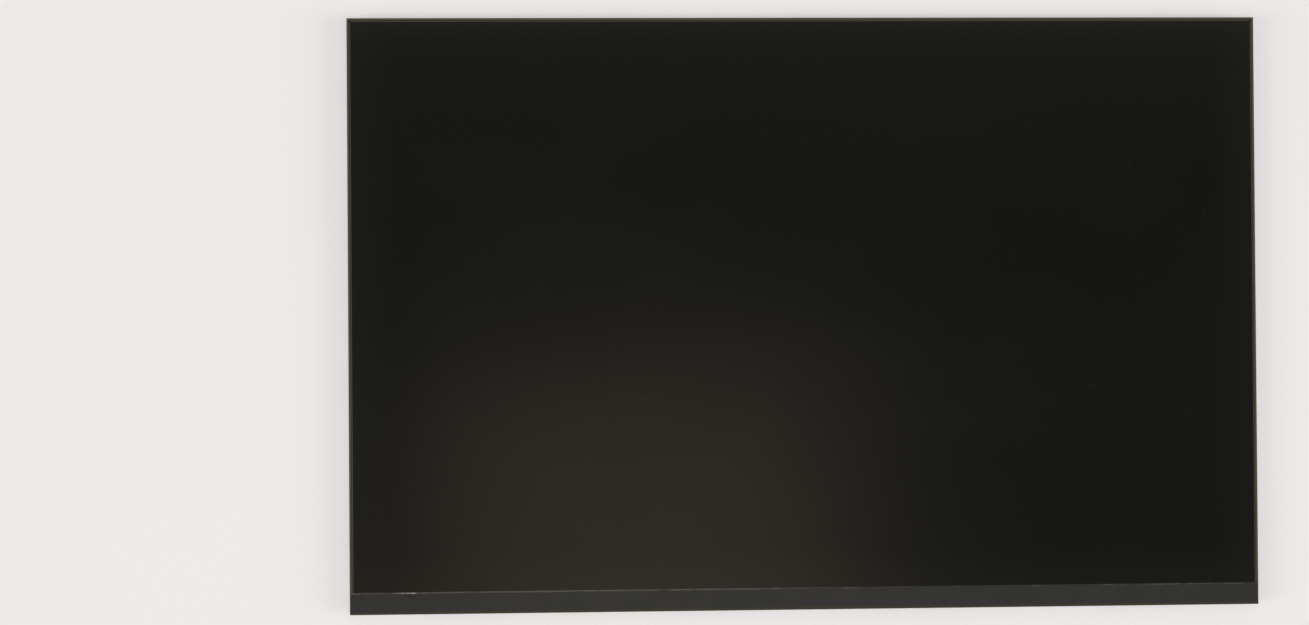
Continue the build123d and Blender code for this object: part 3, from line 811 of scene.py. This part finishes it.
def solid_boxes(node):
    """Lowest and highest corner of each separate solid of a node."""
    merged_copy("solids", node)
    bpy.ops.object.mode_set(mode="EDIT")
    bpy.ops.mesh.select_all(action="SELECT")
    bpy.ops.mesh.separate(type="LOOSE")
    bpy.ops.object.mode_set(mode="OBJECT")
    found = []
    for solid in list(bpy.context.selected_objects):
        corners = [corner.co for corner in solid.data.vertices]
        low = Vector([min(corner[axis] for corner in corners) for axis in range(3)])
        high = Vector([max(corner[axis] for corner in corners) for axis in range(3)])
        found.append((low, high))
        bpy.data.objects.remove(solid)
    return sorted(found, key=lambda box: tuple(box[0]))


brown = fired_ceramic("brown_ceramic", (0.22, 0.14, 0.075, 1), (0.33, 0.23, 0.14, 1))
glaze = fired_ceramic("black_glaze", (0.018, 0.018, 0.022, 1), (0.04, 0.04, 0.046, 1))
chip_boxes = {}
for kind, ceramic, slot in (("capacitor", brown, "capacitor_ceramic"), ("resistor", glaze, "resistor_body")):
    node = kind + "s"
    chip_boxes[node] = solid_boxes(node)
    middles = [(low + high) / 2 for low, high in chip_boxes[node]]
    size = chip_boxes[node][0][1] - chip_boxes[node][0][0]
    body_size = Vector((size.x - dip_length, size.y - 2 * dip_coat, size.z - dip_coat))
    lifted = Vector((0, 0, dip_coat / 2))
    bodies = copies(kind + "_bodies", block(body_size, chip_rounding / 2), [at + lifted for at in middles])
    place_piece(bodies, ceramic, slot, node)
    aside = Vector(((size.x - dip_length) / 2, 0, 0))
    ends = [at + side * aside for at in middles for side in (-1, 1)]
    dips = copies(kind + "_ends", block(Vector((dip_length, size.y, size.z)), chip_rounding, 2), ends)
    place_piece(dips, tin, "socket_metal")

# Cable socket: a black housing with thirty gold contacts, and a tinned shell folded over it.
# The shell's lugs are soldered to the board, and the mouth opens at the lower edge.


def socket_moulding():
    material, shader, place = new_material("socket_moulding")
    sand = grain(place, 0.1 * mm, 3.0)
    connect(shader, {
        "Base Color": mix(sand, (0.022, 0.022, 0.022, 1), (0.040, 0.040, 0.039, 1)),
        "Roughness": 0.35 + sand * 0.2,
        "Normal": relief(sand, 0.01 * mm),
    })
    return material


dress(socket_moulding(), "connector_housing")
dress(gold, "connector_contacts")
dress(tin, "connector_shell")

# Solder of the socket: a small fillet on the tail of each contact, and a broad one on each lug.
# It is bright and smooth where it has wetted the pad.
tail_solder = Vector((0.30 * mm, 0.60 * mm, 0.09 * mm))
lug_solder = Vector((1.0 * mm, 1.8 * mm, 0.09 * mm))
tail_rounding = 0.03 * mm
lug_rounding = 0.04 * mm


def bright_solder():
    material, shader, place = new_material("bright_solder")
    flow = grain(place, 0.25 * mm, 2.0)
    connect(shader, {
        "Base Color": mix(flow, (0.52, 0.52, 0.51, 1), (0.72, 0.72, 0.71, 1)),
        "Metallic": 1.0,
        "Roughness": 0.16 + flow * 0.16,
        "Normal": relief(flow, 0.01 * mm),
    })
    return material


solder = bright_solder()
solder_level = board_low.z - tail_solder.z / 2
tail_places = [
    Vector(((low.x + high.x) / 2, high.y - tail_solder.y / 4, solder_level))
    for low, high in solid_boxes("connector_contacts")
]
tails = copies("tail_solder", block(tail_solder, tail_rounding), tail_places)
place_piece(tails, solder, "socket_metal")
lug_middle = (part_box("connector_housing")[0].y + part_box("connector_housing")[1].y) / 2
lug_places = [
    Vector((end, lug_middle, solder_level))
    for end in (shell_low.x + lug_solder.x / 4, shell_high.x - lug_solder.x / 4)
]
lugs = copies("lug_solder", block(lug_solder, lug_rounding, 2), lug_places)
place_piece(lugs, solder, "socket_metal")

# Printed outlines: thin lines of white ink round the packages, the inductors and the socket.
# They show the machine and the fitter where each part goes.
ink_width = 0.12 * mm
ink_height = 0.012 * mm
ink_gap = 0.22 * mm


def white_ink():
    material, shader, place = new_material("white_ink")
    patchy = grain(place, 0.15 * mm, 3.0)
    connect(shader, {
        "Base Color": mix(patchy, (0.52, 0.53, 0.50, 1), (0.78, 0.79, 0.75, 1)),
        "Roughness": 0.55 + patchy * 0.2,
        "Normal": relief(patchy, 0.004 * mm),
    })
    return material


def printed_outline(low, high):
    """A thin frame of ink on the back of the board, round the foot of one part."""
    select_none()
    middle = ((low.x + high.x) / 2, (low.y + high.y) / 2, board_low.z - ink_height / 2)
    bpy.ops.mesh.primitive_plane_add(size=1, location=middle)
    outline = bpy.context.active_object
    reach = 2 * (ink_gap + ink_width)
    outline.scale = (high.x - low.x + reach, high.y - low.y + reach, 1)
    finish_place()
    bpy.ops.object.mode_set(mode="EDIT")
    bpy.ops.mesh.select_all(action="SELECT")
    bpy.ops.mesh.inset(thickness=ink_width, depth=0)
    bpy.ops.mesh.delete(type="FACE")
    bpy.ops.object.mode_set(mode="OBJECT")
    thicken(outline, ink_height)
    return outline


outlined = [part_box(node) for node in (*package_names, *inductor_names, "connector_shell")]
outlines = [printed_outline(low, high) for low, high in outlined]
select_none()
for outline in outlines:
    outline.select_set(True)
bpy.context.view_layer.objects.active = outlines[0]
bpy.ops.object.join()
outlines[0].name = "printed_outlines"
place_piece(outlines[0], white_ink(), "reflector")

# Board film: a thin black polyester film over the middle of the board, stuck to the cover above it.
# It stands on the tallest parts and sags a little between them.
film_thickness = 0.06 * mm
film_steps = (220, 36)
film_slope = 0.11
film_clear = 0.12 * mm
film_land = 3.2 * mm
film_softness = 0.06 * mm


def black_polyester():
    material, shader, place = new_material("black_polyester")
    skin = grain(place, 0.4 * mm, 3.0)
    wear_and_highlight = spread(grain(place, 9 * mm, 4.0), 0.45, 0.7)
    connect(shader, {
        "Base Color": mix(wear_and_highlight, (0.011, 0.011, 0.012, 1), (0.022, 0.022, 0.023, 1)),
        "Roughness": 0.28 + skin * 0.12 + wear_and_highlight * 0.12,
        "Normal": relief(skin, 0.008 * mm),
    })
    return material


def flat_sheet(name, low, high, level, steps):
    """A flat grid of small squares between two corners, at one level."""
    select_none()
    bpy.ops.mesh.primitive_grid_add(
        x_subdivisions=steps[0], y_subdivisions=steps[1], size=1,
        location=((low.x + high.x) / 2, (low.y + high.y) / 2, level),
    )
    sheet = bpy.context.active_object
    sheet.name = name
    sheet.scale = (high.x - low.x, high.y - low.y, 1)
    finish_place()
    return sheet


def eased(value, low, high):
    """0 below the first bound, 1 above the second, and a smooth step between them."""
    share = min(max((value - low) / (high - low), 0), 1)
    return share * share * (3 - 2 * share)


def lowest(levels):
    """The lowest of several levels, with the corners between them rounded off."""
    least = min(levels)
    total = sum(math.exp((least - level) / film_softness) for level in levels)
    return least - film_softness * math.log(total)


def film_level(across, up, boxes):
    """Height of the film: on the cover, on the board, or held off by the parts under it."""
    levels = [board_low.z - film_clear]
    for low, high in boxes:
        away_x = max(low.x - across, 0, across - high.x)
        away_y = max(low.y - up, 0, up - high.y)
        levels.append(low.z - film_thickness / 2 + film_slope * math.hypot(away_x, away_y))
    return max(lowest(levels), film_thickness / 2)


film = flat_sheet("draped_film", film_low, film_high, 0, film_steps)
part_boxes = [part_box(node) for node in (*package_names, *inductor_names)]
part_boxes += chip_boxes["capacitors"] + chip_boxes["resistors"]
land_edge = film_high.y - film_land
for corner in film.data.vertices:
    part_level = film_level(corner.co.x, min(corner.co.y, board_high.y), part_boxes)
    climb = eased(corner.co.y, board_high.y, land_edge)
    corner.co.z = part_level + (film_high.z - film_thickness / 2 - part_level) * climb
thicken(film, film_thickness)
place_piece(film, black_polyester(), "board_film", "board_cover_film")

# Strip tape: a dark grey film stuck over the drivers' ledge and folded down over the lower edge.
# Its cut upper edge beside the screen shows a pale line, partly the paler cut edge and partly a painted
# highlight where the film has lifted, most of all near the left, where a small bit stands loose with a
# painted glint over a crease painted dark as shade. The fold at the bottom is painted a lighter olive.
tape_low, tape_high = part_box("strip_cover_tape")
tape_thickness = 0.08 * mm
tape_steps = (520, 36)
fold_rounding = 0.14 * mm
fold_steps = 4
fold_band = 1.1 * mm
glass_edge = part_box("filter_glass")[0].y
wall_gap = 0.15 * mm
wall_edge = ledge_edge - wall_gap
tape_sag = 0.05 * mm
driver_sag = 0.035 * mm
driver_ease = 2 * mm
ripple_depth = 0.012 * mm
ripple_size = (11 * mm, 6 * mm)
edge_lift = 0.04 * mm
lift_width = 0.7 * mm
lift_length = 23 * mm
edge_waver = 0.02 * mm
waver_length = 5 * mm
pale_width = 0.42 * mm
pale_stretches = ((35 * mm, -35 * mm, 0.15), (-60 * mm, -110 * mm, 0.06), (85 * mm, 130 * mm, 0.12))
ragged_edge = 0.8 * mm
ragged_end = 4 * mm
loose_start, loose_end = -139.4 * mm, -131.6 * mm
loose_fall = 0.7 * mm
crease_place = -133.2 * mm
crease_reach = 3.8 * mm
crease_drop = 1.0 * mm
crease_bow = 0.3 * mm
crease_half = 0.32 * mm
crease_depth = 0.05 * mm
driver_spans = [(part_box(node)[0].x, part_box(node)[1].x) for node in driver_names]


def grey_tape():
    material, shader, place = new_material("grey_tape")
    skin = grain(place, 0.3 * mm, 3.0)
    mottle = grain(place, 7 * mm, 3.0)
    across, up = along(place, "X"), along(place, "Y")
    ragged = grain(place, 1.1 * mm, 4.0) - 0.5
    edge = spread(up + ragged * ragged_edge, tape_high.y - pale_width, tape_high.y - pale_width * 0.4)
    # Pale edge line: partly the paler cut edge, partly a painted highlight where the film lifts.
    lift_highlight = grain(place, 9 * mm, 4.0, (1.0, 0.0, 0.0))
    for start, end, share in pale_stretches:
        lift_highlight = lift_highlight + spread(across, start, end) * share
    torn = across + ragged * ragged_end
    loose = spread(torn, loose_start, loose_end) * spread(torn, loose_end + loose_fall, loose_end)
    # Painted shade: a dark line along the crease under the loose bit.
    near = spread(abs(across - crease_place), crease_reach, 0.0)
    crease = near * spread(abs(tape_high.y - crease_drop - near * crease_bow - up), crease_half, 0.0)
    pale = edge * spread(lift_highlight, 0.53, 0.68)
    # A lighter olive band is painted along the fold at the bottom.
    fold = spread(up, tape_low.y + fold_band, tape_low.y + fold_band * 0.6)
    grey = mix(mottle, (0.0192, 0.0202, 0.0185, 1), (0.0267, 0.0273, 0.0248, 1))
    fold_toned = mix(fold, grey, (0.034, 0.032, 0.017, 1))
    crease_shaded = mix(crease, fold_toned, (0.006, 0.006, 0.005, 1))
    edged = mix(pale, crease_shaded, (0.080, 0.070, 0.059, 1))
    connect(shader, {
        # Painted glint: the loose bit of the edge is painted bright.
        "Base Color": mix(edge * loose, edged, (0.32, 0.315, 0.285, 1)),
        "Roughness": 0.42 + skin * 0.16,
        "Specular IOR Level": 0.15,
        "Normal": relief(skin, 0.008 * mm),
    })
    return material


def tape_level(across, up):
    """How far the tape dips over the hollow of the ledge, less where a driver lies under it."""
    span = (up - wall_edge) / (glass_edge - wall_edge)
    dip = math.sin(math.pi * min(max(span, 0), 1)) ** 2
    depth = tape_sag
    for start, end in driver_spans:
        over = eased(across, start - driver_ease, start) * eased(-across, -end - driver_ease, -end)
        depth = depth - (tape_sag - driver_sag) * over
    ripple = noise.noise(Vector((across / ripple_size[0], up / ripple_size[1], 0)))
    near = eased(-abs(across - crease_place), -crease_reach, 0)
    from_crease = abs(tape_high.y - crease_drop - near * crease_bow - up)
    crease = crease_depth * near * eased(-from_crease, -2 * crease_half, 0)
    return -dip * (depth + ripple_depth * ripple) - crease


fold_place = Vector((tape_low.x, tape_low.y + tape_thickness / 2, tape_high.z - tape_thickness / 2))
tape = flat_sheet("strip_tape", fold_place, tape_high, fold_place.z, tape_steps)
bpy.ops.object.mode_set(mode="EDIT")
select_where(tape, lambda corner: corner.y < tape_low.y + tape_thickness)
bpy.ops.mesh.extrude_region_move(TRANSFORM_OT_translate={"value": (0, 0, tape_low.z - fold_place.z)})
select_where(tape, lambda corner: (corner.yz - fold_place.yz).length < tape_thickness / 4)
bpy.ops.mesh.bevel(offset=fold_rounding, segments=fold_steps, affect="EDGES")
bpy.ops.object.mode_set(mode="OBJECT")
for corner in tape.data.vertices:
    place = corner.co
    if place.y > wall_edge:
        place.z += tape_level(place.x, place.y)
    near_edge = eased(place.y, tape_high.y - lift_width, tape_high.y)
    lifted = noise.noise(Vector((place.x / lift_length, 7.0, 0)))
    loose = eased(place.x, loose_start, loose_end) * eased(-place.x, -loose_end - loose_fall, -loose_end)
    place.z += edge_lift * near_edge * max(lifted, loose)
    place.y += edge_waver * near_edge * noise.noise(Vector((place.x / waver_length, 3.0, 0)))
thicken(tape, tape_thickness)
place_piece(tape, grey_tape(), "strip_tape", "strip_cover_tape")

# Studio: a plain pale floor under soft light, seen from straight above the screen.
# Part of the floor's tone is plain backdrop, so that the shadow on it stays soft. The side lamps
# don't show in the gloss, where they would drown the screen in low views.
floor_size = 12.0
floor_drop = 0.02 * mm
floor_plain = (0.855, 0.83, 0.81, 1)
plain_share = 0.36
side_lamp_size = (2.4, 2.4)
side_lamp_colour = (1, 0.99, 0.98)
sky_light, sky_extra = 0.571, 0.309
select_none()
bpy.ops.mesh.primitive_plane_add(size=floor_size, location=(0, 0, cad_box[0].z - floor_drop))
floor = bpy.context.active_object
floor.name = "floor"


def seen(shade):
    """1 for what the camera sees, also in gloss and through glass, and 0 for what only gives light."""
    rays = ("Is Camera Ray", "Is Glossy Ray", "Is Transmission Ray")
    camera_ray, glossy_ray, clear_ray = [shade.node("ShaderNodeLightPath", {}, {}, ray) for ray in rays]
    return camera_ray + glossy_ray + clear_ray > 0.5


def pale_floor():
    material, shader, place = new_material("pale_floor")
    paper = grain(place, 60 * mm, 4.0)
    connect(shader, {
        "Base Color": mix(paper, (0.86, 0.855, 0.86, 1), (0.87, 0.865, 0.87, 1)),
        "Roughness": 0.9,
        "Specular IOR Level": 0.0,
    })
    plain = place.node("ShaderNodeEmission", {}, {"Color": floor_plain, "Strength": 1.0})
    shaded = Shade(place.tree, shader.outputs[0])
    surface = place.node("ShaderNodeMixShader", {}, {0: seen(place) * plain_share, 1: shaded, 2: plain})
    connect(place.tree.nodes["Material Output"], {"Surface": surface})
    return material


floor.data.materials.append(pale_floor())


def soft_light(name, place, aim, size, power, colour, mirrored):
    """A large soft lamp at one place, turned towards another, that the gloss shows or not."""
    bpy.ops.object.light_add(type="AREA", location=place)
    lamp = bpy.context.active_object
    lamp.name = name
    lamp.rotation_mode = "QUATERNION"
    lamp.rotation_quaternion = (Vector(aim) - Vector(place)).to_track_quat("-Z", "Y")
    lamp.data.shape = "RECTANGLE"
    lamp.data.size, lamp.data.size_y = size
    lamp.data.energy = power
    lamp.data.color = colour
    lamp.visible_camera = False
    lamp.visible_glossy = mirrored


soft_light(
    "right_lamp", place=(5.65, -1.1, 1.72), aim=(0, 0, 0), size=side_lamp_size,
    power=200.0, colour=side_lamp_colour, mirrored=False,
)
soft_light(
    "left_lamp", place=(-5.2, -1.0, 2.0), aim=(0, 0, 0), size=side_lamp_size,
    power=142.0, colour=side_lamp_colour, mirrored=False,
)
soft_light(
    "overhead", place=(-0.03, -0.22, 1.0), aim=(-0.04, -0.06, 0), size=(0.37, 0.36),
    power=1.38, colour=(1, 0.79, 0.77), mirrored=True,
)

world = bpy.data.worlds.new("studio")
bpy.context.scene.world = world
world.use_nodes = True
connect(world.node_tree.nodes["Background"], {
    "Color": (0.985, 0.975, 0.965, 1),
    "Strength": sky_light + seen(Shade(world.node_tree)) * sky_extra,
})

# Camera: straight above the screen and a little to its left, with the panel right of the middle.
photo_width, focal_pixels = 1309, 1800
sensor_width = 36.0
camera_place = Vector((-72.05, -3.3, 606.9)) * mm
camera_aim = Vector((0.0349, 0.0065, -0.9994))
camera_up = Vector((0.0068, 1.0, 0.0068))
bpy.ops.object.camera_add()
camera = bpy.context.active_object
backwards = -camera_aim.normalized()
rightwards = camera_up.cross(backwards).normalized()
upwards = backwards.cross(rightwards)
turn = Matrix((rightwards, upwards, backwards)).transposed()
camera.matrix_world = Matrix.Translation(camera_place) @ turn.to_4x4()
camera.data.sensor_width = sensor_width
camera.data.lens = focal_pixels * sensor_width / photo_width
camera.data.clip_start = 10 * mm
bpy.context.scene.camera = camera
bpy.context.scene.view_settings.view_transform = "Standard"
